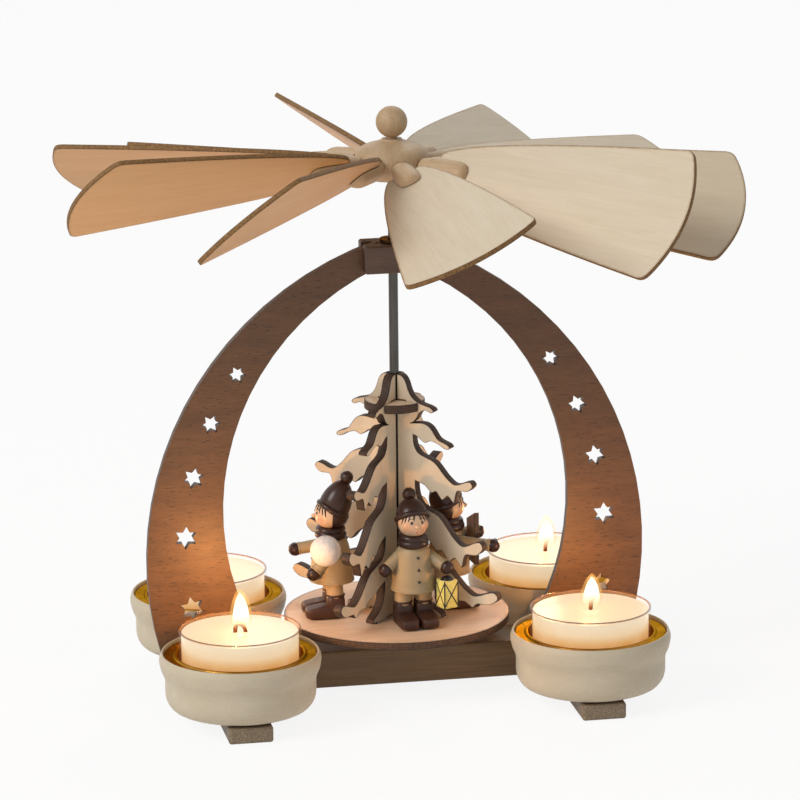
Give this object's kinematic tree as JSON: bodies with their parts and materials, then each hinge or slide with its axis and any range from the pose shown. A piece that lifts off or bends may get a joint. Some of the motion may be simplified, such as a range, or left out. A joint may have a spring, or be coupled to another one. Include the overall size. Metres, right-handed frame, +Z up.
{
  "type": "christmas pyramid",
  "caption": "Wooden candle carousel: a blade wheel in rising warm air turns a shaft with a fretwork tree and doll children under a star-cut arch.",
  "frame": {"origin": "on the floor under the shaft, at the middle of the base", "axes": "+X along the arch, +Y to the back, +Z up along the shaft"},
  "size_m": [0.2145, 0.2224, 0.1888],
  "materials": {
    "stained_wood": "satin",
    "base_wood": "satin",
    "turned_wood": "satin",
    "disc_wood": "satin",
    "pale_plywood": "matte",
    "brass": "satin",
    "steel": "satin",
    "clear_plastic": "gloss",
    "wax": "satin",
    "painted_doll_wood": "satin",
    "lantern_paint": "satin",
    "snow_paint": "matte"
  },
  "bodies": {
    "frame": {"base_board": "base_wood", "cross_bar_left": "base_wood", "cross_bar_right": "base_wood", "arch_arm_left": "stained_wood", "arch_arm_right": "stained_wood", "arch_top_block": "stained_wood", "top_bearing_bush": "brass", "bottom_bearing_cup": "brass", "candle_cup_front_left": "turned_wood", "candle_cup_front_right": "turned_wood", "candle_cup_back_left": "turned_wood", "candle_cup_back_right": "turned_wood", "cup_liner_front_left": "brass", "cup_liner_front_right": "brass", "cup_liner_back_left": "brass", "cup_liner_back_right": "brass"},
    "rotor": {"shaft": "steel", "blade_hub": "turned_wood", "finial_ball": "turned_wood", "turntable_disc": "disc_wood", "turntable_collar": "turned_wood", "tree_fin_front_left": "pale_plywood", "tree_fin_front_right": "pale_plywood", "tree_fin_back_right": "pale_plywood", "tree_fin_back_left": "pale_plywood", "tree_lock_disc": "pale_plywood", "lantern_child": "painted_doll_wood", "snowball_child": "painted_doll_wood", "sled_child": "painted_doll_wood", "lantern": "lantern_paint", "snowball": "snow_paint", "sled": "base_wood"},
    "tealight_front_left": {"tealight_shell_front_left": "clear_plastic", "tealight_wax_front_left": "wax"},
    "tealight_front_right": {"tealight_shell_front_right": "clear_plastic", "tealight_wax_front_right": "wax"},
    "tealight_back_left": {"tealight_shell_back_left": "clear_plastic", "tealight_wax_back_left": "wax"},
    "tealight_back_right": {"tealight_shell_back_right": "clear_plastic", "tealight_wax_back_right": "wax"},
    "blade_01": {"blade_peg_01": "turned_wood", "blade_01": "pale_plywood"},
    "blade_02": {"blade_peg_02": "turned_wood", "blade_02": "pale_plywood"},
    "blade_03": {"blade_peg_03": "turned_wood", "blade_03": "pale_plywood"},
    "blade_04": {"blade_peg_04": "turned_wood", "blade_04": "pale_plywood"},
    "blade_05": {"blade_peg_05": "turned_wood", "blade_05": "pale_plywood"},
    "blade_06": {"blade_peg_06": "turned_wood", "blade_06": "pale_plywood"},
    "blade_07": {"blade_peg_07": "turned_wood", "blade_07": "pale_plywood"},
    "blade_08": {"blade_peg_08": "turned_wood", "blade_08": "pale_plywood"},
    "blade_09": {"blade_peg_09": "turned_wood", "blade_09": "pale_plywood"},
    "blade_10": {"blade_peg_10": "turned_wood", "blade_10": "pale_plywood"}
  },
  "joints": [
    {"name": "rotor_spin", "type": "hinge", "parent": "frame", "child": "rotor", "pos_m": [0, 0, 0], "axis": [0, 0, 1], "continuous": true},
    {"name": "blade_pitch_01", "type": "hinge", "parent": "rotor", "child": "blade_01", "pos_m": [0, 0, 0.17108], "axis": [0.0435, -0.9966, -0.0698], "range_deg": [-10, 40]},
    {"name": "blade_pitch_02", "type": "hinge", "parent": "rotor", "child": "blade_02", "pos_m": [0, 0, 0.17108], "axis": [0.6711, -0.7401, -0.0436], "range_deg": [-39.8, 10.2]},
    {"name": "blade_pitch_03", "type": "hinge", "parent": "rotor", "child": "blade_03", "pos_m": [0, 0, 0.17108], "axis": [0.9466, -0.2985, -0.1219], "range_deg": [-23.6, 26.4]},
    {"name": "blade_pitch_04", "type": "hinge", "parent": "rotor", "child": "blade_04", "pos_m": [0, 0, 0.17108], "axis": [0.9285, 0.3398, -0.1495], "range_deg": [-9, 41]},
    {"name": "blade_pitch_05", "type": "hinge", "parent": "rotor", "child": "blade_05", "pos_m": [0, 0, 0.17108], "axis": [0.5833, 0.7999, -0.1409], "range_deg": [-20, 30]},
    {"name": "blade_pitch_06", "type": "hinge", "parent": "rotor", "child": "blade_06", "pos_m": [0, 0, 0.17108], "axis": [-0.0261, 0.9952, -0.0941], "range_deg": [-21, 29]},
    {"name": "blade_pitch_07", "type": "hinge", "parent": "rotor", "child": "blade_07", "pos_m": [0, 0, 0.17108], "axis": [-0.5337, 0.8378, -0.1149], "range_deg": [-0.8, 49.2]},
    {"name": "blade_pitch_08", "type": "hinge", "parent": "rotor", "child": "blade_08", "pos_m": [0, 0, 0.17108], "axis": [-0.8839, 0.4601, -0.0837], "range_deg": [-18.2, 31.8]},
    {"name": "blade_pitch_09", "type": "hinge", "parent": "rotor", "child": "blade_09", "pos_m": [0, 0, 0.17108], "axis": [-0.9391, -0.3437, 0], "range_deg": [-25.8, 24.2]},
    {"name": "blade_pitch_10", "type": "hinge", "parent": "rotor", "child": "blade_10", "pos_m": [0, 0, 0.17108], "axis": [-0.5649, -0.825, 0.0157], "range_deg": [-24.9, 25.1]},
    {"name": "tealight_lift_front_left", "type": "slide", "parent": "frame", "child": "tealight_front_left", "axis": [0, 0, 1], "range_m": [0, 0.03]},
    {"name": "tealight_lift_front_right", "type": "slide", "parent": "frame", "child": "tealight_front_right", "axis": [0, 0, 1], "range_m": [0, 0.03]},
    {"name": "tealight_lift_back_left", "type": "slide", "parent": "frame", "child": "tealight_back_left", "axis": [0, 0, 1], "range_m": [0, 0.03]},
    {"name": "tealight_lift_back_right", "type": "slide", "parent": "frame", "child": "tealight_back_right", "axis": [0, 0, 1], "range_m": [0, 0.03]}
  ]
}
